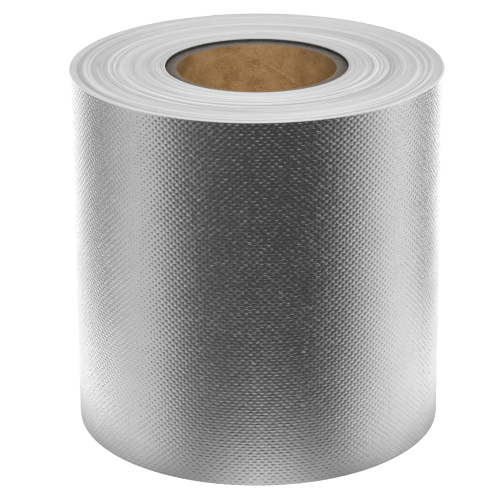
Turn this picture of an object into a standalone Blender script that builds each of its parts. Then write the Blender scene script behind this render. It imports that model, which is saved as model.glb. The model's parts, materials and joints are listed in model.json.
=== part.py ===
"""Wide roll of foil-faced cloth duct tape on a spiral-wound paper core.

The roll stands on one end face. Its axis is +Z and the origin is the centre of its foot.
From the middle outwards it is made of the plies of the core, the strip that fastens the tape
to the core, the wound turns, and the last turn, which is drawn layer by layer: release liner,
adhesive, woven cloth and aluminium foil. The free end of the last turn is split into stiff
segments on upright hinges, so that it can be lifted off the roll, and its release liner
follows it part of the way.
"""

import math

import bmesh
import bpy

MM = 0.001

# Driving dimensions
ROLL_RADIUS = 90.0 * MM
TAPE_WIDTH = 180.0 * MM
CORE_BORE_RADIUS = 38.1 * MM
CORE_WALL = 5.3 * MM
CORE_RECESS = 1.5 * MM
CORE_PLIES = 8
FIXING_STRIP_DEG = (20.0, 60.0)
FIXING_STRIP_INSET = 5.0 * MM
FIRST_TURN_THICKNESS = 0.4 * MM

# The last turn's layers, from the inside out
LAYER_THICKNESS = {
    "liner": 0.20 * MM,
    "adhesive": 0.15 * MM,
    "cloth": 0.30 * MM,
    "foil": 0.15 * MM,
}
EDGE_SETBACK = 0.3 * MM

# The free end: it leaves the roll at PEEL_DEG and is cut off at the angle after its segments
PEEL_DEG = 45.0
TAIL_SEGMENTS = 6
SEGMENT_DEG = 10.0
TAIL_END_DEG = PEEL_DEG + TAIL_SEGMENTS * SEGMENT_DEG

# Clearances
GLUE_LINE = 0.15 * MM
FIT_GAP = 0.3 * MM
END_GAP_DEG = 0.2

# Every round surface has its corners on the same angles, so that neighbours stay parallel
FACET_DEG = 5.0
FULL_TURN_DEG = 360.0
# Edges that turn by more than this stay sharp
SHARP_DEG = 30.0
# Size at which the hinge empties are shown
HINGE_MARK = 5.0 * MM

CORE_OUTER_RADIUS = CORE_BORE_RADIUS + CORE_WALL
PLY_THICKNESS = (CORE_WALL - (CORE_PLIES - 1) * GLUE_LINE) / CORE_PLIES

# Colour (linear RGB), roughness and metallic value of each material
FINISHES = {
    "kraft_paper": ((0.300, 0.175, 0.080), 0.85, 0.0),
    "core_board": ((0.235, 0.155, 0.090), 0.90, 0.0),
    "fixing_tape": ((0.560, 0.470, 0.300), 0.55, 0.0),
    "wound_tape": ((0.600, 0.600, 0.600), 0.60, 0.0),
    "foil": ((0.620, 0.620, 0.620), 0.35, 0.9),
    "cloth": ((0.640, 0.630, 0.600), 0.85, 0.0),
    "adhesive": ((0.520, 0.500, 0.430), 0.45, 0.0),
    "liner": ((0.760, 0.750, 0.720), 0.60, 0.0),
}


def clear_scene():
    for item in list(bpy.data.objects):
        bpy.data.objects.remove(item, do_unlink=True)


def make_material(name):
    colour, roughness, metallic = FINISHES[name]
    material = bpy.data.materials.new(name)
    material.use_nodes = True
    shader = material.node_tree.nodes["Principled BSDF"]
    shader.inputs["Base Color"].default_value = (*colour, 1.0)
    shader.inputs["Roughness"].default_value = roughness
    shader.inputs["Metallic"].default_value = metallic
    return material


def facet_angles(start_deg, end_deg):
    """The two end angles, with every multiple of FACET_DEG that lies between them."""
    first = math.floor(start_deg / FACET_DEG) + 1
    last = math.ceil(end_deg / FACET_DEG) - 1
    inner = [step * FACET_DEG for step in range(first, last + 1)]
    return [start_deg, *inner, end_deg]


def arc_mesh(name, radii, heights, span_deg=(0.0, FULL_TURN_DEG), centre_x=0.0):
    """A wall of rectangular section bent round (centre_x, 0): a closed ring or an open arc."""
    inner, outer = radii
    low, high = heights
    closed = span_deg[1] - span_deg[0] >= FULL_TURN_DEG
    angles = facet_angles(*span_deg)
    if closed:
        angles = angles[:-1]
    mesh_builder = bmesh.new()
    sections = []
    for angle in angles:
        turn = math.radians(angle)
        corners = []
        for radius, height in ((inner, low), (outer, low), (outer, high), (inner, high)):
            place = (centre_x + radius * math.cos(turn), radius * math.sin(turn), height)
            corners.append(mesh_builder.verts.new(place))
        sections.append(corners)
    pairs = list(zip(sections, sections[1:]))
    if closed:
        pairs.append((sections[-1], sections[0]))
    for here, there in pairs:
        for corner in range(4):
            beside = (corner + 1) % 4
            mesh_builder.faces.new((here[corner], there[corner], there[beside], here[beside]))
    if not closed:
        mesh_builder.faces.new(sections[0])
        mesh_builder.faces.new(sections[-1])
    bmesh.ops.recalc_face_normals(mesh_builder, faces=mesh_builder.faces)
    mesh = bpy.data.meshes.new(name)
    mesh_builder.to_mesh(mesh)
    mesh_builder.free()
    mesh.shade_smooth()
    mesh.set_sharp_from_angle(angle=math.radians(SHARP_DEG))
    return mesh


def add_piece(name, mesh, material, parent=None):
    piece = bpy.data.objects.new(name, mesh)
    if not mesh.materials:
        mesh.materials.append(material)
    bpy.context.scene.collection.objects.link(piece)
    piece.parent = parent
    return piece


def make_core(materials):
    """Glued plies of board between two smoother kraft plies, set back from the tape's edges."""
    heights = (CORE_RECESS, TAPE_WIDTH - CORE_RECESS)
    for ply in range(CORE_PLIES):
        inner = CORE_BORE_RADIUS + ply * (PLY_THICKNESS + GLUE_LINE)
        material = materials["core_board"]
        name = f"core_board_ply_{ply}"
        if ply == 0:
            name = "core_inner_ply"
            material = materials["kraft_paper"]
        elif ply == CORE_PLIES - 1:
            name = "core_outer_ply"
            material = materials["kraft_paper"]
        mesh = arc_mesh(name, (inner, inner + PLY_THICKNESS), heights)
        add_piece(name, mesh, material)


def make_fixing_strip(materials):
    """Double-sided strip that holds the start of the tape on the core. Returns its outer radius."""
    inner = CORE_OUTER_RADIUS + GLUE_LINE
    outer = inner + LAYER_THICKNESS["adhesive"]
    heights = (FIXING_STRIP_INSET, TAPE_WIDTH - FIXING_STRIP_INSET)
    mesh = arc_mesh("core_fixing_strip", (inner, outer), heights, FIXING_STRIP_DEG)
    add_piece("core_fixing_strip", mesh, materials["fixing_tape"])
    return outer


def make_wound_turns(materials, inner, outer):
    """The first turn round the core, and the turns between it and the last one."""
    first_outer = inner + FIRST_TURN_THICKNESS
    heights = (EDGE_SETBACK, TAPE_WIDTH - EDGE_SETBACK)
    first_mesh = arc_mesh("first_turn", (inner, first_outer), heights)
    add_piece("first_turn", first_mesh, materials["wound_tape"])
    pack_mesh = arc_mesh("wound_turns", (first_outer + FIT_GAP, outer), (0.0, TAPE_WIDTH))
    add_piece("wound_turns", pack_mesh, materials["wound_tape"])


def layer_radii():
    """Inner and outer radius of each layer of the last turn, laid inwards from the foil."""
    radii = {}
    outer = ROLL_RADIUS
    for layer in reversed(LAYER_THICKNESS):
        inner = outer - LAYER_THICKNESS[layer]
        radii[layer] = (inner, outer)
        outer = inner - GLUE_LINE
    return radii


def make_last_turn(materials, radii):
    """The part of the last turn that stays on the roll, from the cut end round to the peel line."""
    heights = (EDGE_SETBACK, TAPE_WIDTH - EDGE_SETBACK)
    span = (TAIL_END_DEG + END_GAP_DEG / 2, PEEL_DEG + FULL_TURN_DEG - END_GAP_DEG / 2)
    for layer, layer_span in radii.items():
        name = f"last_turn_{layer}"
        mesh = arc_mesh(name, layer_span, heights, span)
        add_piece(name, mesh, materials[layer])


def make_hinge(name, parent, place, angle_deg):
    """An empty on an upright hinge axis, with its X pointing out of the roll at that hinge."""
    hinge = bpy.data.objects.new(name, None)
    hinge.empty_display_size = HINGE_MARK
    bpy.context.scene.collection.objects.link(hinge)
    hinge.parent = parent
    hinge.location = place
    hinge.rotation_euler = (0.0, 0.0, math.radians(angle_deg))
    return hinge


def make_tail(materials, prefix, layers, radii):
    """A chain of hinged segments; every segment has the same shape in its own hinge's frame."""
    hinge_radius = radii[layers[-1]][1]
    heights = (EDGE_SETBACK, TAPE_WIDTH - EDGE_SETBACK)
    span = (END_GAP_DEG / 2, SEGMENT_DEG - END_GAP_DEG / 2)
    meshes = {}
    for layer in layers:
        mesh = arc_mesh(f"tail_{layer}", radii[layer], heights, span, -hinge_radius)
        meshes[layer] = mesh
    peel = math.radians(PEEL_DEG)
    step = math.radians(SEGMENT_DEG)
    place = (hinge_radius * math.cos(peel), hinge_radius * math.sin(peel), 0.0)
    next_place = (hinge_radius * (math.cos(step) - 1.0), hinge_radius * math.sin(step), 0.0)
    turn = PEEL_DEG
    parent = None
    for number in range(1, TAIL_SEGMENTS + 1):
        hinge = make_hinge(f"{prefix}_hinge_{number}", parent, place, turn)
        for layer in layers:
            add_piece(f"tail_{layer}_{number}", meshes[layer], materials[layer], hinge)
        parent = hinge
        place = next_place
        turn = SEGMENT_DEG


def main():
    clear_scene()
    materials = {name: make_material(name) for name in FINISHES}
    radii = layer_radii()
    make_core(materials)
    strip_outer = make_fixing_strip(materials)
    make_wound_turns(materials, strip_outer + GLUE_LINE, radii["liner"][0] - FIT_GAP)
    make_last_turn(materials, radii)
    make_tail(materials, "tape", ("adhesive", "cloth", "foil"), radii)
    make_tail(materials, "liner", ("liner",), radii)


main()
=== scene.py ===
"""Looks of the foil-faced duct tape roll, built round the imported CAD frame.

The tape is one strip wound as a spiral. An angle along the strip, in degrees, says where on it
a point lies: it grows outwards, and it is TAIL_END_DEG at the free end. The strip's outer
radius, the edges of its turns, the foil's weave and the free end all follow from that angle.
"""

import json
import math

import bpy
import numpy as np
from mathutils import Matrix, Vector


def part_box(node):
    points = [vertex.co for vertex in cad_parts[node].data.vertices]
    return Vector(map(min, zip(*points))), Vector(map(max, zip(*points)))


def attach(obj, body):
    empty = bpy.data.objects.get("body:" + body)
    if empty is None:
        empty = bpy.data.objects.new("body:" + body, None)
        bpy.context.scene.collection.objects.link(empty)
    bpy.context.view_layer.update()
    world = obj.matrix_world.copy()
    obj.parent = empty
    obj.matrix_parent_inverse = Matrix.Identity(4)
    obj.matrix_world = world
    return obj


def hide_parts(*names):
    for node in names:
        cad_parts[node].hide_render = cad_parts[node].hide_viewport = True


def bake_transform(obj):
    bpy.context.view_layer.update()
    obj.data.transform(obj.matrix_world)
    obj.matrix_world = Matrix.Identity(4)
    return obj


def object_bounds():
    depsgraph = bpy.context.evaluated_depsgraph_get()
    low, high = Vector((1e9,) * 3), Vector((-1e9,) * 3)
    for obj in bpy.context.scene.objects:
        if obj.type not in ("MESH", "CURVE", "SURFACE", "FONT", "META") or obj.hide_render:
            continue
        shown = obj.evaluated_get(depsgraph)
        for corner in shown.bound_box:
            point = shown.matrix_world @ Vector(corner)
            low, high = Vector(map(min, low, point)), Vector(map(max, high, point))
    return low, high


MM = 0.001
FULL_TURN = 360.0

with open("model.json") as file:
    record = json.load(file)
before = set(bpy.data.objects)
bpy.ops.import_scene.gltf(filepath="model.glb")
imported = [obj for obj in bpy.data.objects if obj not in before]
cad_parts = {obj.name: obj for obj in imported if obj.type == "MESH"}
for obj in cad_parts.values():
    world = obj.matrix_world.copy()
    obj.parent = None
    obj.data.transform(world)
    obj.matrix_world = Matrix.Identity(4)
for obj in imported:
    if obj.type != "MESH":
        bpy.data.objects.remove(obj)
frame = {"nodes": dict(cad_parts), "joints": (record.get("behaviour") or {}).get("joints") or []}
CAD_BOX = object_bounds()
random = np.random.default_rng(11)

# ---------------------------------------------------------------- sizes read from the frame
FOOT, TOP = CAD_BOX[0].z, CAD_BOX[1].z
MIDDLE = (FOOT + TOP) / 2
# The fifth segment of the free end crosses the Y axis, and reaches the full radius there
ROLL_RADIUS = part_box("tail_foil_5")[1].y
BORE_CORNERS = frame["nodes"]["core_inner_ply"].data.vertices
BORE_RADIUS = min(math.hypot(*corner.co.xy) for corner in BORE_CORNERS)
CORE_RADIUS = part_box("core_outer_ply")[1].x
FIRST_TURN_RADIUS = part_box("first_turn")[1].x
HINGES = {joint["name"]: joint for joint in frame["joints"]}


def hinge_angle(name):
    x, y, _ = HINGES[name]["pos_m"]
    return math.degrees(math.atan2(y, x))


PEEL_DEG = hinge_angle("tape_hinge_1")
SEGMENT_DEG = hinge_angle("tape_hinge_2") - PEEL_DEG
TAIL_SEGMENTS = sum(name.startswith("tape_hinge_") for name in HINGES)
TAIL_END_DEG = PEEL_DEG + TAIL_SEGMENTS * SEGMENT_DEG

# ---------------------------------------------------------------- the wound strip
TURNS = 117
PITCH = (ROLL_RADIUS - FIRST_TURN_RADIUS) / TURNS
# Depths below the strip's highest yarns between which each layer lies
LAYER_DEPTHS = {
    "foil": (0.0, 0.235 * MM),
    "cloth": (0.238 * MM, 0.295 * MM),
    "adhesive": (0.298 * MM, 0.335 * MM),
    "liner": (0.338 * MM, 0.385 * MM),
}
# Plain weave: yarns in a full turn, and across the strip
YARNS_PER_TURN = 324
YARNS_ACROSS = 119
YARN_DEG = FULL_TURN / YARNS_PER_TURN
YARN_UP = (TOP - FOOT) / YARNS_ACROSS
WEAVE_RELIEF = 0.055 * MM
MOST_RELIEF = 0.10 * MM
# Heights of a raised and of a sunk crossing, as shares of the relief
CROSSING_HEIGHTS = (1.0, -0.5)
# How far from its middle, as a share of its width, a raised crossing stays level
CROSSING_LEVEL = 0.21
# How far a raised crossing reaches over the yarns beside it, as a share of a yarn
OVERHANG = 0.08
# How much of the relief depends on how hard the foil is pressed, and the limits of the result
PRESSURE_SHARE = 0.35
PRESSED_LIMITS = (0.3, 1.6)
# The slitting knives press the weave flat this far in from the strip's edges
BURNISHED = 2.5 * MM
# The foil's edges curl in by this depth, over this width
EDGE_CURL = 0.02 * MM
EDGE_ROUNDING = 0.5 * MM
# How far the edges of the foil and of the other layers lie from the foot and from the top
FOIL_SETBACKS = (0.25 * MM, 0.15 * MM)
LAYER_SETBACKS = (0.3 * MM, 0.2 * MM)
LAYER_COLUMN_DEG = 1.5


def strip_radius(angle):
    """Outer radius of the strip at an angle along it."""
    return ROLL_RADIUS - PITCH * (TAIL_END_DEG - angle) / FULL_TURN


def polar(radius, angle, height):
    turn = np.radians(angle)
    return np.stack([radius * np.cos(turn), radius * np.sin(turn), height], axis=-1)


# ---------------------------------------------------------------- mesh helpers
# Edges that turn by more than this stay sharp
SHARP_DEG = 50.0


def mesh_piece(name, points, faces, material, smooth=True):
    mesh = bpy.data.meshes.new(name)
    mesh.from_pydata(points.tolist(), [], faces)
    mesh.update()
    if smooth:
        mesh.shade_smooth()
        mesh.set_sharp_from_angle(angle=math.radians(SHARP_DEG))
    mesh.materials.append(material)
    piece = bpy.data.objects.new(name, mesh)
    bpy.context.scene.collection.objects.link(piece)
    return piece


def quads(a, b, c, d):
    """Faces from four equal index arrays."""
    return np.stack([a, b, c, d], axis=-1).reshape(-1, 4).tolist()


def sheet_mesh(outer, inner, closed=False):
    """A thin closed body between two grids, [round, up], that share their first axis."""
    columns, rows_out = outer.shape[:2]
    rows_in = inner.shape[1]
    points = np.concatenate([outer.reshape(-1, 3), inner.reshape(-1, 3)])
    out = np.arange(columns * rows_out).reshape(columns, rows_out)
    inn = columns * rows_out + np.arange(columns * rows_in).reshape(columns, rows_in)
    here = np.arange(columns if closed else columns - 1)
    there = (here + 1) % columns
    faces = quads(out[here, :-1], out[there, :-1], out[there, 1:], out[here, 1:])
    faces += quads(inn[here, :-1], inn[here, 1:], inn[there, 1:], inn[there, :-1])
    faces += quads(out[here, -1], out[there, -1], inn[there, -1], inn[here, -1])
    faces += quads(out[here, 0], inn[here, 0], inn[there, 0], out[there, 0])
    if not closed:
        faces.append(out[0].tolist() + inn[0, ::-1].tolist())
        faces.append(inn[-1].tolist() + out[-1, ::-1].tolist())
    return points, faces


def put_on_roll(piece, node):
    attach(piece, "roll")
    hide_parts(node)


# ---------------------------------------------------------------- material helpers
def add_node(tree, kind, values=None, **settings):
    node = tree.nodes.new(kind)
    for name, value in settings.items():
        setattr(node, name, value)
    for key, value in (values or {}).items():
        if isinstance(value, bpy.types.NodeSocket):
            tree.links.new(value, node.inputs[key])
        else:
            node.inputs[key].default_value = value
    return node


def new_material(name, **fixed):
    material = bpy.data.materials.new(name)
    material.use_nodes = True
    tree = material.node_tree
    shader = tree.nodes["Principled BSDF"]
    for key, value in fixed.items():
        shader.inputs[key.replace("_", " ")].default_value = value
    return material, tree, shader


def maths(tree, operation, *values, clamp=False):
    inputs = dict(enumerate(values))
    node = add_node(tree, "ShaderNodeMath", inputs, operation=operation, use_clamp=clamp)
    return node.outputs[0]


def map_range(tree, value, given, wanted):
    """Stretches the range given to the range wanted, and stays level beyond its ends."""
    values = {"Value": value}
    values["From Min"], values["From Max"] = given
    values["To Min"], values["To Max"] = wanted
    return add_node(tree, "ShaderNodeMapRange", values).outputs["Result"]


def colour_ramp(tree, factor, stops):
    node = add_node(tree, "ShaderNodeValToRGB", {"Fac": factor})
    ramp = node.color_ramp
    while len(ramp.elements) < len(stops):
        ramp.elements.new(0.5)
    for element, (position, colour) in zip(ramp.elements, stops):
        element.position = position
        element.color = (*colour, 1.0)
    return node.outputs["Color"]


def grey(level):
    return (level, level, level)


def noise(tree, vector, scale, detail, roughness):
    values = {"Vector": vector, "Scale": scale, "Detail": detail, "Roughness": roughness}
    return add_node(tree, "ShaderNodeTexNoise", values).outputs["Fac"]


def texture_place(tree, kind="Object"):
    """Texture coordinates: the Object ones are in metres."""
    return add_node(tree, "ShaderNodeTexCoord").outputs[kind]


def scaled(tree, vector, scale):
    values = {"Vector": vector, "Scale": scale}
    return add_node(tree, "ShaderNodeMapping", values).outputs["Vector"]


def split(tree, vector):
    return add_node(tree, "ShaderNodeSeparateXYZ", {0: vector}).outputs


def length(tree, vector):
    return add_node(tree, "ShaderNodeVectorMath", {0: vector}, operation="LENGTH").outputs["Value"]


def axis_distance(tree):
    """Distance from the roll's axis."""
    return length(tree, scaled(tree, texture_place(tree), (1.0, 1.0, 0.0)))


def ring_vector(tree, across, along):
    """Noise coordinates that change fast from turn to turn and slowly round the roll."""
    x, y, _ = split(tree, texture_place(tree))
    radius = axis_distance(tree)
    values = {
        0: maths(tree, "MULTIPLY", radius, across),
        1: maths(tree, "MULTIPLY", maths(tree, "DIVIDE", x, radius), along),
        2: maths(tree, "MULTIPLY", maths(tree, "DIVIDE", y, radius), along),
    }
    return add_node(tree, "ShaderNodeCombineXYZ", values).outputs[0]


def azimuth_tones(tree, place, tones):
    """Greys by the angle round the roll, in degrees: 0 at its front, + to the right."""
    x, y, _ = split(tree, place)
    azimuth = maths(tree, "ARCTAN2", x, maths(tree, "MULTIPLY", y, -1.0))
    share = maths(tree, "MULTIPLY_ADD", azimuth, 1.0 / (2.0 * math.pi), 0.5)
    stops = [(0.5 + angle / FULL_TURN, grey(level)) for angle, level in tones]
    return colour_ramp(tree, share, stops)


def bump(tree, height, distance, normal=None):
    values = {"Height": height, "Distance": distance, "Strength": 1.0}
    if normal is not None:
        values["Normal"] = normal
    return add_node(tree, "ShaderNodeBump", values).outputs["Normal"]


# ---------------------------------------------------------------- materials
def foil_material():
    """Aluminium foil pressed over woven cloth. Its UVs count yarns round the roll and up it."""
    material, tree, shader = new_material("foil", Metallic=1.0)
    broad = noise(tree, texture_place(tree), 60.0, 3.0, 0.6)
    tone = colour_ramp(tree, broad, [(0.3, grey(0.74)), (0.7, grey(0.80))])
    tree.links.new(tone, shader.inputs["Base Color"])
    rough = maths(tree, "MULTIPLY_ADD", broad, 0.10, 0.16)
    tree.links.new(rough, shader.inputs["Roughness"])
    yarns = texture_place(tree, "UV")
    yarn, height, _ = split(tree, yarns)
    row = maths(tree, "FLOOR", maths(tree, "ADD", height, 0.5))
    from_raised = maths(tree, "WRAP", maths(tree, "ADD", yarn, row), 1.0, -1.0)
    level = map_range(tree, maths(tree, "ABSOLUTE", from_raised), (0.35, 0.90), (1.0, 0.05))
    from_crest = maths(tree, "MULTIPLY", maths(tree, "SUBTRACT", height, row), math.pi)
    proud = maths(tree, "MULTIPLY", maths(tree, "COSINE", from_crest), level)
    uneven = noise(tree, scaled(tree, yarns, (0.5, 1.0, 1.0)), 1.3, 2.0, 0.7)
    strong = maths(tree, "MULTIPLY_ADD", uneven, 2.6, -0.5)
    pressed = bump(tree, maths(tree, "MULTIPLY", proud, strong), 0.16 * MM)
    crinkle = noise(tree, yarns, 2.6, 3.0, 0.65)
    tree.links.new(bump(tree, crinkle, 0.03 * MM, pressed), shader.inputs["Normal"])
    return material


def turn_noise(tree, turns, along, detail, roughness):
    """Noise on the end faces, whose streaks are so many turns wide."""
    return noise(tree, ring_vector(tree, 1.0 / (turns * PITCH), along), 1.0, detail, roughness)


def winding_material():
    """Cut edges of cloth, foil and liner: pale, with a painted shadow line wherever turns part."""
    material, tree, shader = new_material("wound_edges", Roughness=0.62)
    fine = turn_noise(tree, 1.2, 0.9, 1.0, 0.8)
    turns = turn_noise(tree, 2.6, 0.5, 1.0, 0.6)
    groups = turn_noise(tree, 8.0, 0.4, 1.0, 0.5)
    zones = turn_noise(tree, 30.0, 0.4, 0.0, 0.5)
    lines = maths(tree, "MULTIPLY_ADD", fine, 0.6, maths(tree, "MULTIPLY_ADD", turns, 0.6, -0.6))
    contrast = maths(tree, "MULTIPLY_ADD", zones, 2.6, -0.5)
    ground = maths(tree, "MULTIPLY_ADD", groups, 0.34, 0.36)
    body = maths(tree, "MULTIPLY_ADD", lines, contrast, ground)
    parting = maths(tree, "ABSOLUTE", maths(tree, "SUBTRACT", turns, 0.5))
    # Painted shade: a dark line where turns part, for the shadow in the gaps between them
    parting_shadow = map_range(tree, parting, (0.0, 0.03), (-0.16, 0.0))
    mixed = maths(tree, "MULTIPLY_ADD", parting_shadow, contrast, body)
    stops = [(0.12, grey(0.20)), (0.36, grey(0.46)), (0.52, grey(0.62)), (0.80, grey(0.84))]
    tree.links.new(colour_ramp(tree, mixed, stops), shader.inputs["Base Color"])
    grain = noise(tree, texture_place(tree), 1500.0, 2.0, 0.6)
    tree.links.new(bump(tree, grain, 0.05 * MM), shader.inputs["Normal"])
    return material


def kraft_material():
    """Kraft paper: fine fibres over broad cloudy tones."""
    material, tree, shader = new_material("kraft_paper", Roughness=0.78)
    fibres = noise(tree, scaled(tree, texture_place(tree), (1.0, 1.0, 1.4)), 1500.0, 3.0, 0.7)
    cloud = noise(tree, scaled(tree, texture_place(tree), (1.0, 1.0, 1.2)), 90.0, 3.0, 0.6)
    mixed = maths(tree, "MULTIPLY_ADD", fibres, 0.62, maths(tree, "MULTIPLY", cloud, 0.38))
    stops = [
        (0.37, (0.24, 0.122, 0.042)),
        (0.5, (0.42, 0.245, 0.100)),
        (0.64, (0.57, 0.36, 0.165)),
    ]
    tree.links.new(colour_ramp(tree, mixed, stops), shader.inputs["Base Color"])
    tree.links.new(bump(tree, fibres, 0.06 * MM), shader.inputs["Normal"])
    return material


def board_material():
    """Cut ends of the glued plies: streaked, with painted shade that darkens them towards the
    tape.
    """
    material, tree, shader = new_material("core_board", Roughness=0.9)
    streaks = noise(tree, ring_vector(tree, 1800.0, 14.0), 1.0, 3.0, 0.6)
    across = map_range(tree, axis_distance(tree), (BORE_RADIUS, CORE_RADIUS), (0.0, 1.0))
    ground = maths(tree, "MULTIPLY_ADD", streaks, 0.6, 0.30)
    # Painted shadow: darker towards the tape, for the wound turns' wall shading the recessed end
    # of the core
    shaded_towards_tape = maths(tree, "MULTIPLY_ADD", across, -0.38, ground)
    stops = [(0.15, (0.045, 0.038, 0.033)), (0.65, (0.27, 0.225, 0.19))]
    tree.links.new(colour_ramp(tree, shaded_towards_tape, stops), shader.inputs["Base Color"])
    tree.links.new(bump(tree, streaks, 0.08 * MM), shader.inputs["Normal"])
    return material


def sheet_material(name, dark, light, roughness, scale=400.0):
    """A plain sheet with a little grain."""
    material, tree, shader = new_material(name, Roughness=roughness)
    grain = noise(tree, texture_place(tree), scale, 3.0, 0.6)
    tone = colour_ramp(tree, grain, [(0.3, dark), (0.7, light)])
    tree.links.new(tone, shader.inputs["Base Color"])
    tree.links.new(bump(tree, grain, 0.03 * MM), shader.inputs["Normal"])
    return material


def make_materials():
    return {
        "foil": foil_material(),
        "wound_tape": winding_material(),
        "kraft_paper": kraft_material(),
        "core_board": board_material(),
        "cloth": sheet_material("cloth", (0.55, 0.54, 0.52), (0.70, 0.69, 0.66), 0.85, 900.0),
        "adhesive": sheet_material("adhesive", (0.56, 0.53, 0.45), (0.66, 0.63, 0.54), 0.30),
        "liner": sheet_material("liner", (0.70, 0.69, 0.66), (0.78, 0.77, 0.75), 0.45),
        # The first turn's sheet is near black: painted shade, for the shadowed inner wall of the
        # turns above the recessed core
        "first_turn": sheet_material("first_turn", (0.03, 0.03, 0.03), (0.07, 0.065, 0.06), 0.5),
        "fixing_tape": sheet_material("fixing_tape", (0.50, 0.42, 0.26), (0.62, 0.53, 0.36), 0.5),
    }


# ---------------------------------------------------------------- the wound turns
STEPS_PER_TURN = 216
STEP = FULL_TURN / STEPS_PER_TURN
WOUND_START = TAIL_END_DEG - TURNS * FULL_TURN
# The last turn's separate layers begin here, under the free end, this many steps from its end
LAYERED_STEPS = 258
LAST_TURN_START = TAIL_END_DEG - LAYERED_STEPS * STEP
# How far the tape strays sideways: slowly over many turns, from turn to turn, and in each turn
EDGE_WANDER = 0.55 * MM
WALK_PULL = 0.93
WALK_STEP = 0.18
TURN_JUMP = 0.1225
RIPPLE = 0.15
RIPPLES_PER_TURN = 2
# The groove between one turn's edge and the next: its depth, and the shares of it that are
# there everywhere and at random
GROOVE_DEPTH = 0.22 * MM
GROOVE_SHARES = (0.4, 1.2)
# Small nicks along the edge
NICK_DEPTH = 0.06 * MM
NICKS_PER_TURN = 7
# Across one turn's edge, as shares of the pitch: where the groove ends, and where the edge ends
EDGE_ACROSS = (0.16, 0.84)
EDGE_SLANT = 0.02 * MM


def smooth_walk(count):
    """A random walk that is pulled back to zero."""
    walk = np.zeros(count)
    for index in range(1, count):
        walk[index] = WALK_PULL * walk[index - 1] + random.normal(0.0, WALK_STEP)
    return walk


def edge_heights(turn, phase):
    """How far below the tape's widest place its edge lies, in metres, at turns from its start."""
    whole = int(turn[-1]) + 2
    knots = np.arange(whole)
    wander = np.interp(turn, knots, smooth_walk(whole))
    jumps = np.interp(turn, knots, random.normal(0.0, TURN_JUMP, whole))
    ripple = RIPPLE * np.sin(2.0 * np.pi * RIPPLES_PER_TURN * turn + phase)
    spread = wander + jumps + ripple
    spread = (spread - spread.min()) / (spread.max() - spread.min())
    return EDGE_WANDER * spread


def wall(loop, base):
    """Quads from a loop of the end face to a circle, and a fan over the loop's step."""
    steps = np.arange(STEPS_PER_TURN)
    faces = quads(loop[steps], base, np.roll(base, -1), loop[steps + 1])
    step_corners = [*loop[STEPS_PER_TURN:], loop[0]]
    for first, second in zip(step_corners, step_corners[1:]):
        faces.append([int(first), int(base[0]), int(second)])
    return faces


def wound_half(name, material, up, phase):
    """Half of the wound turns, the upper or the lower, with each turn's edge on its end face.

    The end face is one spiral band, three points across. A wall runs from its inner turn, and
    another from its outer turn, to two circles at the middle of the roll's height.
    """
    columns = round((LAST_TURN_START - WOUND_START) / STEP) + 1
    turn = np.arange(columns) / STEPS_PER_TURN
    angle = WOUND_START + STEP * np.arange(columns)
    inner = strip_radius(angle) - PITCH
    fall = edge_heights(turn, phase)
    groove = np.interp(turn, np.arange(TURNS + 2), random.random(TURNS + 2) ** 3)
    depth = GROOVE_DEPTH * (GROOVE_SHARES[0] + GROOVE_SHARES[1] * groove)
    nicks = NICKS_PER_TURN * (TURNS + 1) + 1
    nick = np.interp(turn * NICKS_PER_TURN, np.arange(nicks), random.random(nicks))
    crest = fall + NICK_DEPTH * nick
    end, away = (TOP, -1.0) if up else (FOOT, 1.0)
    near, far = EDGE_ACROSS
    rows = []
    for across, drop in ((0.0, crest + depth), (near, crest), (far, crest + EDGE_SLANT)):
        rows.append(polar(inner + across * PITCH, angle, end + away * drop))
    band = np.stack(rows, axis=1).reshape(-1, 3)

    index = np.arange(columns * 3).reshape(columns, 3)
    ring = STEPS_PER_TURN
    outside = columns - ring
    faces = quads(index[:-1, 0], index[1:, 0], index[1:, 1], index[:-1, 1])
    faces += quads(index[:-1, 1], index[1:, 1], index[1:, 2], index[:-1, 2])
    edge, next_edge = index[:outside, 2], index[ring:, 0]
    faces += quads(edge[:-1], edge[1:], next_edge[1:], next_edge[:-1])

    level = np.full(ring, MIDDLE)
    inner_circle = polar(np.full(ring, inner[0]), angle[:ring], level)
    outer_circle = polar(np.full(ring, inner[-1]), angle[:ring], level)
    base_in = len(band) + np.arange(ring)
    base_out = base_in + ring
    base_out_turned = np.roll(base_out, -((outside - 1) % ring))
    inner_loop = np.concatenate([index[:ring + 1, 0], index[0, [2, 1]]])
    outer_loop = np.concatenate([index[outside - 1:, 2], index[-1, [1, 0]]])
    faces += wall(inner_loop, base_in)
    faces += [face[::-1] for face in wall(outer_loop, base_out_turned)]
    faces += quads(base_in, base_out, np.roll(base_out, -1), np.roll(base_in, -1))
    if up:
        faces = [face[::-1] for face in faces]
    points = np.concatenate([band, inner_circle, outer_circle])
    return mesh_piece(name, points, faces, material)


def make_wound_turns(materials):
    halves = (("wound_turns_upper", True, 1.0), ("wound_turns_lower", False, 2.5))
    for name, up, phase in halves:
        put_on_roll(wound_half(name, materials["wound_tape"], up, phase), "wound_turns")


# ---------------------------------------------------------------- the last turn and the free end
# The foil's last turn is made in two lengths that meet here, at its back
FOIL_JOIN_DEG = -180.0
# How close to a cut end, in yarns, the middle of a raised yarn may lie
CUT_CLEARANCE = 0.3


def foil_angles(start, end):
    """Two columns to a yarn, on either side of its middle, with the two cut ends."""
    first = math.ceil(start / YARN_DEG + CUT_CLEARANCE)
    last = math.floor(end / YARN_DEG - CUT_CLEARANCE)
    yarns = np.arange(first, last + 1)
    columns = np.stack([yarns - CROSSING_LEVEL, yarns + CROSSING_LEVEL], axis=1).reshape(-1)
    return np.concatenate([[start], columns * YARN_DEG, [end]])


def foil_heights():
    """Two rows to a yarn, on its middle and between it and the next, with the two cut edges."""
    height = FOOT + YARN_UP / 2 * np.arange(2 * YARNS_ACROSS + 1)
    height[0] = FOOT + FOIL_SETBACKS[0]
    height[-1] = TOP - FOIL_SETBACKS[1]
    return height


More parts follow.
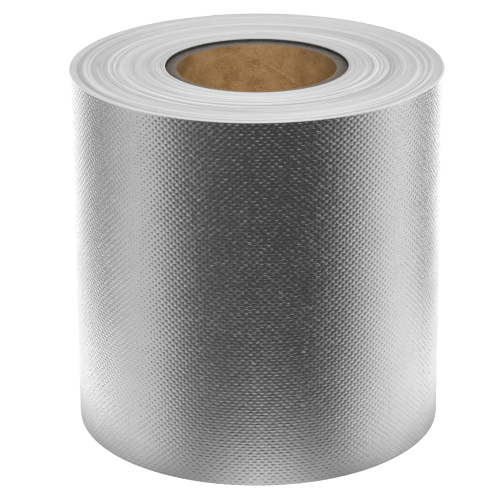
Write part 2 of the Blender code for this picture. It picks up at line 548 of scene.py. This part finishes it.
# Plane waves in random directions, whose sum says how hard the foil is pressed onto the cloth
WAVES = 24
WAVE_LENGTH = 22.0 * MM
WAVE_DIRECTIONS = random.normal(size=(3, WAVES))
WAVE_DIRECTIONS *= 2 * np.pi / WAVE_LENGTH / np.linalg.norm(WAVE_DIRECTIONS, axis=0)
WAVE_PHASES = random.uniform(0.0, 2 * np.pi, WAVES)
# Thickness of each yarn, where two that are average add up to 1
YARN_THICKNESS = {
    "round": 0.5 + random.normal(0.0, 0.10, YARNS_PER_TURN),
    "up": 0.5 + random.normal(0.0, 0.10, YARNS_ACROSS),
}


def pressure(points):
    """How hard the foil is pressed at each point: about 0, and mostly within 1 of it."""
    return np.cos(points @ WAVE_DIRECTIONS + WAVE_PHASES).sum(axis=-1) / math.sqrt(WAVES)


def weave(angle, height):
    """Relief of the cloth through the foil: every second yarn crossing stands proud."""
    yarn = np.round(angle / YARN_DEG).astype(int)
    row = np.round((height - FOOT) / YARN_UP).astype(int)
    crossing = np.where((yarn + row) % 2 == 0, *CROSSING_HEIGHTS)
    crest = np.cos(np.pi * ((height - FOOT) / YARN_UP - row)) ** 2
    thick_round = YARN_THICKNESS["round"][yarn % YARNS_PER_TURN]
    thick_up = YARN_THICKNESS["up"][row % YARNS_ACROSS]
    skin = polar(ROLL_RADIUS + 0 * height, angle, height + 0 * angle)
    pressed = np.clip(1.0 + PRESSURE_SHARE * pressure(skin), *PRESSED_LIMITS)
    from_edge = np.clip(np.minimum(height - FOOT, TOP - height) / BURNISHED, 0.0, 1.0)
    return WEAVE_RELIEF * crossing * crest * (thick_round + thick_up) * pressed * from_edge


def crossing_overhang(angle, height):
    """Moves the ends of each raised crossing apart, over the yarns beside it."""
    yarn = np.round(angle / YARN_DEG)
    row = np.round((height - FOOT) / YARN_UP)
    over = np.where((yarn + row) % 2 == 0, 1.0, -1.0)
    on_yarn = np.abs((height - FOOT) / YARN_UP - row) < 0.25
    side = np.sign(angle / YARN_DEG - yarn)
    side[[0, -1]] = 0.0
    return OVERHANG * YARN_DEG * side * over * on_yarn


def edge_roll_in(height):
    """How far the burnished edges of the strip curl in, 0 away from them."""
    near = np.minimum(height - height.min(), height.max() - height)
    part = np.clip(1.0 - near / EDGE_ROUNDING, 0.0, 1.0)
    return EDGE_CURL * part ** 2


def foil_sheet(name, start, end, material):
    """A length of the foil, with the weave in its outer face."""
    angle = foil_angles(start, end)[:, None]
    height = foil_heights()[None, :]
    relief = np.clip(weave(angle, height), -MOST_RELIEF, MOST_RELIEF) - MOST_RELIEF
    radius = strip_radius(angle) + relief - edge_roll_in(height)
    along = angle + crossing_overhang(angle, height)
    outer = polar(radius, along, height + 0 * angle)
    inside = strip_radius(angle) - LAYER_DEPTHS["foil"][1]
    ends = np.array([[height.min(), height.max()]])
    inner = polar(inside + 0 * ends, angle + 0 * ends, ends + 0 * angle)
    piece = mesh_piece(name, *sheet_mesh(outer, inner), material)
    strip_uv(piece, [(along, height + 0 * angle), (angle + 0 * ends, ends + 0 * angle)])
    return piece


def strip_uv(piece, grids):
    """UVs that count yarns: along the strip, and up it. The grids list every vertex in order."""
    counts = []
    for along, height in grids:
        count = np.stack([along / YARN_DEG, (height - FOOT) / YARN_UP], axis=-1)
        counts.append(count.reshape(-1, 2))
    at = np.concatenate(counts)
    mesh = piece.data
    corner = np.zeros(len(mesh.loops), np.int32)
    mesh.loops.foreach_get("vertex_index", corner)
    layer = mesh.uv_layers.new(name="strip")
    layer.data.foreach_set("uv", at[corner].astype(np.float32).reshape(-1))


def plain_layer(name, layer, start, end, material):
    """A length of one of the layers under the foil."""
    columns = round((end - start) / LAYER_COLUMN_DEG) + 1
    angle = np.linspace(start, end, columns)[:, None] + np.zeros((1, 2))
    height = np.array([[FOOT + LAYER_SETBACKS[0], TOP - LAYER_SETBACKS[1]]]) + 0 * angle
    near, far = LAYER_DEPTHS[layer]
    outer = polar(strip_radius(angle) - near, angle, height)
    inner = polar(strip_radius(angle) - far, angle, height)
    return mesh_piece(name, *sheet_mesh(outer, inner), material)


def make_last_turn(materials):
    foil = materials["foil"]
    lengths = (
        ("foil_wrap_left", LAST_TURN_START, FOIL_JOIN_DEG),
        ("foil_wrap_right", FOIL_JOIN_DEG, PEEL_DEG),
    )
    for name, start, end in lengths:
        put_on_roll(foil_sheet(name, start, end, foil), "last_turn_foil")
    for layer in ("liner", "adhesive", "cloth"):
        name = f"last_turn_{layer}_layer"
        piece = plain_layer(name, layer, LAST_TURN_START, PEEL_DEG, materials[layer])
        put_on_roll(piece, f"last_turn_{layer}")


def make_tail(materials):
    """The free end, cut at its segments' middles: each piece but the last stays where it is built
    in place of a frame segment, and the last goes on the last segment's body.
    """
    middles = [PEEL_DEG + SEGMENT_DEG * (number + 0.5) for number in range(TAIL_SEGMENTS)]
    cuts = [PEEL_DEG, *middles, TAIL_END_DEG]
    for layer in ("foil", "cloth", "adhesive", "liner"):
        prefix = "liner" if layer == "liner" else "tail"
        bodies = ["roll"] + [f"{prefix}_{number}" for number in range(1, TAIL_SEGMENTS + 1)]
        for number, (start, end) in enumerate(zip(cuts, cuts[1:])):
            name = f"free_{layer}_{number + 1}"
            if layer == "foil":
                piece = foil_sheet(name, start, end, materials["foil"])
            else:
                piece = plain_layer(name, layer, start, end, materials[layer])
            if number < TAIL_SEGMENTS:
                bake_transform(piece)
                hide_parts(f"tail_{layer}_{number + 1}")
            else:
                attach(piece, bodies[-1])


# ---------------------------------------------------------------- the core
# The bore ply is one paper strip wound as a helix, whose edge laps over the turn before
PLY_LEAD = 128.0 * MM
# Where the lap comes out at the ply's upper end
PLY_LAP_DEG = 111.0
PLY_LAP_HEIGHT = 0.30 * MM
PLY_LAP_WIDTH = 7.0 * MM
PLY_STEP_WIDTH = 0.15 * MM
LAP_COLUMNS = 6
PLY_COLUMNS = 140
PLY_ROWS = 120
# How far the paper's cut ends stray
CUT_FUZZ = 0.25 * MM
BOARD_PLIES = 6


def bore_ply(name, node, material, end_material):
    """The inner ply. Its columns follow the helix, so that the lapped edge is a clean step."""
    low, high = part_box(node)
    bore = BORE_RADIUS + PLY_LAP_HEIGHT
    step_deg = math.degrees(PLY_STEP_WIDTH / bore)
    lap_deg = math.degrees(PLY_LAP_WIDTH / bore)
    slope = np.linspace(step_deg, lap_deg, LAP_COLUMNS)
    rest = np.linspace(lap_deg, FULL_TURN, PLY_COLUMNS)[1:-1]
    column = np.concatenate([[0.0], slope, rest])[:, None]
    lap = np.interp(column, [0.0, step_deg, lap_deg, FULL_TURN], [0.0, 1.0, 0.0, 0.0])
    height = np.linspace(low.z, high.z, PLY_ROWS)[None, :]
    angle = PLY_LAP_DEG + column - (high.z - height) * FULL_TURN / PLY_LEAD
    fuzz = np.zeros_like(angle)
    fuzz[:, -1] = -CUT_FUZZ * random.random(len(column))
    fuzz[:, 0] = CUT_FUZZ * random.random(len(column))
    inside = polar(bore - PLY_LAP_HEIGHT * lap + 0 * height, angle, height + fuzz)
    outside = polar(high.x + 0 * angle, angle, height + fuzz)
    piece = mesh_piece(name, *sheet_mesh(outside, inside, closed=True), material)
    piece.data.materials.append(end_material)
    for face in piece.data.polygons:
        if not low.z + 2 * CUT_FUZZ < face.center.z < high.z - 2 * CUT_FUZZ:
            face.material_index = 1
    return piece


def set_material(node, material):
    piece = frame["nodes"][node]
    piece.data.materials.clear()
    piece.data.materials.append(material)


def make_core(materials):
    kraft, board = materials["kraft_paper"], materials["core_board"]
    inner = bore_ply("kraft_bore_ply", "core_inner_ply", kraft, board)
    put_on_roll(inner, "core_inner_ply")
    set_material("core_outer_ply", board)
    for ply in range(1, BOARD_PLIES + 1):
        set_material(f"core_board_ply_{ply}", board)
    set_material("core_fixing_strip", materials["fixing_tape"])
    # The first turn's near black is painted shade
    set_material("first_turn", materials["first_turn"])


# ---------------------------------------------------------------- studio
CAMERA_ELEVATION = math.radians(21.13)
CAMERA_DISTANCE = 1.162
CAMERA_AIM = Vector((-0.0037, 0.0, 0.0844))
CAMERA_ROLL = math.radians(-0.33)
CAMERA_LENS = 169.8
SENSOR_WIDTH = 36.0
CLIP_END = 50.0

# The floor glows a little, and more so far away, where the lamps don't reach it
FLOOR_SIZE = 12.0
FLOOR_TONE = 0.9
FLOOR_GLOW_REACH = (0.6, 2.4)
FLOOR_GLOW = (0.4, 0.85)

# The lit patch of floor under the roll, painted as a glowing disc that only the foil's reflections
# show:
# a disc, a little behind it, that fades out beyond the bright part
NEAR_FLOOR_RADIUS = 0.70
NEAR_FLOOR_BACK = 0.10
NEAR_FLOOR_LIFT = 0.2 * MM
NEAR_FLOOR_BRIGHT = 0.19
NEAR_FLOOR_FADE = 0.036
NEAR_FLOOR_POWER = 1.3
NEAR_FLOOR_SIDES = 96
# The painted shade at the roll's foot: its width, and the share of the light that is left there
CONTACT_WIDTH = 25.0 * MM
CONTACT_LIGHT = 0.55
# The patch's painted glow by the angle round the roll, in degrees, 0 at its front and + to the
# right
NEAR_FLOOR_TONES = [
    (-180.0, 0.85),
    (-95.0, 0.85),
    (-75.0, 0.74),
    (-60.0, 0.62),
    (-45.0, 0.57),
    (-38.0, 0.52),
    (-31.0, 0.44),
    (-24.0, 0.42),
    (-17.0, 0.48),
    (-9.0, 0.70),
    (0.0, 0.92),
    (9.0, 0.76),
    (17.0, 0.52),
    (24.0, 0.41),
    (31.0, 0.43),
    (38.0, 0.52),
    (45.0, 0.60),
    (60.0, 0.64),
    (75.0, 0.68),
    (95.0, 0.80),
    (180.0, 0.85),
]

# Even light that reaches the matt surfaces from all round
AMBIENT = 0.12
# Brightness of the studio round the roll, by the same angle
STUDIO_WALLS = [
    (-180.0, 0.80),
    (-168.0, 1.20),
    (-153.0, 1.38),
    (-137.0, 0.95),
    (-122.0, 0.34),
    (-108.0, 0.28),
    (-98.0, 0.56),
    (-68.0, 0.68),
    (-54.0, 0.20),
    (-38.0, 0.09),
    (0.0, 0.055),
    (46.0, 0.055),
    (60.0, 0.24),
    (76.0, 0.62),
    (90.0, 0.82),
    (112.0, 0.95),
    (120.0, 0.22),
    (131.0, 0.26),
    (146.0, 1.50),
    (164.0, 1.30),
    (180.0, 0.80),
]
# Sines of the elevations between which the studio brightens upwards, and how bright it gets
UPPER_SINES = (0.08, 0.60)
UPPER_LEVEL = 0.75


def make_camera():
    camera = bpy.data.objects.new("camera", bpy.data.cameras.new("camera"))
    bpy.context.scene.collection.objects.link(camera)
    camera.data.lens = CAMERA_LENS
    camera.data.sensor_width = SENSOR_WIDTH
    camera.data.clip_end = CLIP_END
    back = Vector((0.0, -math.cos(CAMERA_ELEVATION), math.sin(CAMERA_ELEVATION)))
    camera.location = Vector((0.0, 0.0, MIDDLE)) + CAMERA_DISTANCE * back
    look = (CAMERA_AIM - camera.location).to_track_quat("-Z", "Y").to_matrix()
    roll = Matrix.Rotation(CAMERA_ROLL, 3, "Z")
    camera.rotation_euler = (look @ roll).to_euler()
    bpy.context.scene.camera = camera


def make_floor():
    signs = [(-1.0, -1.0, 0.0), (1.0, -1.0, 0.0), (1.0, 1.0, 0.0), (-1.0, 1.0, 0.0)]
    corners = FLOOR_SIZE / 2 * np.array(signs)
    material, tree, shader = new_material(
        "studio_floor",
        Roughness=0.9,
        Base_Color=(*grey(FLOOR_TONE), 1.0),
        Emission_Color=(*grey(1.0), 1.0),
    )
    glow = map_range(tree, length(tree, texture_place(tree)), FLOOR_GLOW_REACH, FLOOR_GLOW)
    tree.links.new(glow, shader.inputs["Emission Strength"])
    floor = mesh_piece("studio_floor", corners, [[0, 1, 2, 3]], material, smooth=False)
    floor.visible_glossy = False


def make_near_floor():
    """The lit patch of floor under the roll, as the foil mirrors it: a painted reflection that
    glows. Only reflections show it.
    """
    steps = np.arange(NEAR_FLOOR_SIDES)
    radius = np.full(NEAR_FLOOR_SIDES, NEAR_FLOOR_RADIUS)
    level = np.full(NEAR_FLOOR_SIDES, NEAR_FLOOR_LIFT)
    rim = polar(radius, steps * FULL_TURN / NEAR_FLOOR_SIDES, level)
    rim[:, 1] += NEAR_FLOOR_BACK
    black = (*grey(0.0), 1.0)
    material, tree, shader = new_material("near_floor", Roughness=0.9, Base_Color=black)
    place = texture_place(tree)
    tones = azimuth_tones(tree, place, NEAR_FLOOR_TONES)
    tree.links.new(tones, shader.inputs["Emission Color"])
    centre = (0.0, NEAR_FLOOR_BACK, 0.0)
    away = add_node(tree, "ShaderNodeVectorMath", {0: place, 1: centre}, operation="DISTANCE")
    beyond = maths(tree, "SUBTRACT", away.outputs["Value"], NEAR_FLOOR_BRIGHT)
    falling = maths(tree, "MULTIPLY", beyond, -1.0 / NEAR_FLOOR_FADE)
    tree.links.new(maths(tree, "EXPONENT", falling, clamp=True), shader.inputs["Alpha"])
    foot = (ROLL_RADIUS, ROLL_RADIUS + CONTACT_WIDTH)
    power = (NEAR_FLOOR_POWER * CONTACT_LIGHT, NEAR_FLOOR_POWER)
    lit = map_range(tree, length(tree, place), foot, power)
    tree.links.new(lit, shader.inputs["Emission Strength"])
    disc = mesh_piece("near_floor", rim, [steps.tolist()], material, smooth=False)
    disc.visible_camera = False
    disc.visible_diffuse = False
    disc.visible_shadow = False


def mix_colours(tree, factor, first, second, blend_type="MIX"):
    values = {"Factor": factor, 6: first, 7: second}
    node = add_node(tree, "ShaderNodeMix", values, data_type="RGBA", blend_type=blend_type)
    return node.outputs[2]


def make_world():
    """Studio walls in bands, as the foil mirrors them. The camera sees plain white behind."""
    world = bpy.data.worlds.new("studio")
    world.use_nodes = True
    bpy.context.scene.world = world
    tree = world.node_tree
    place = texture_place(tree, "Generated")
    walls = azimuth_tones(tree, place, STUDIO_WALLS)
    _, _, rise = split(tree, place)
    upper = map_range(tree, rise, UPPER_SINES, (0.0, UPPER_LEVEL))
    ceiling = add_node(tree, "ShaderNodeCombineXYZ", {0: upper, 1: upper, 2: upper}).outputs[0]
    bands = mix_colours(tree, 1.0, walls, ceiling, "LIGHTEN")
    path = add_node(tree, "ShaderNodeLightPath")
    ambient = (*grey(AMBIENT), 1.0)
    lighting = mix_colours(tree, path.outputs["Is Diffuse Ray"], bands, ambient)
    seen = mix_colours(tree, path.outputs["Is Camera Ray"], lighting, (*grey(1.0), 1.0))
    tree.links.new(seen, tree.nodes["Background"].inputs["Color"])


def add_area(name, location, target, size, power):
    """A soft lamp that the foil doesn't mirror."""
    light = bpy.data.lights.new(name, "AREA")
    light.shape = "SQUARE"
    light.size = size
    light.energy = power
    lamp = bpy.data.objects.new(name, light)
    lamp.visible_glossy = False
    lamp.location = location
    lamp.rotation_euler = (Vector(target) - Vector(location)).to_track_quat("-Z", "Y").to_euler()
    bpy.context.scene.collection.objects.link(lamp)


def make_studio():
    make_camera()
    make_floor()
    make_near_floor()
    make_world()
    add_area("overhead_softbox", (0.0, 0.0, 1.6), (0.0, 0.0, 0.0), 1.6, 9.0)
    add_area("front_softbox", (0.25, -2.4, 2.6), (0.0, 0.0, 0.1), 1.4, 96.0)
    bpy.context.scene.view_settings.view_transform = "Standard"
    bpy.context.scene.view_settings.look = "None"


def main():
    make_studio()
    materials = make_materials()
    make_core(materials)
    make_wound_turns(materials)
    make_last_turn(materials)
    make_tail(materials)


main()
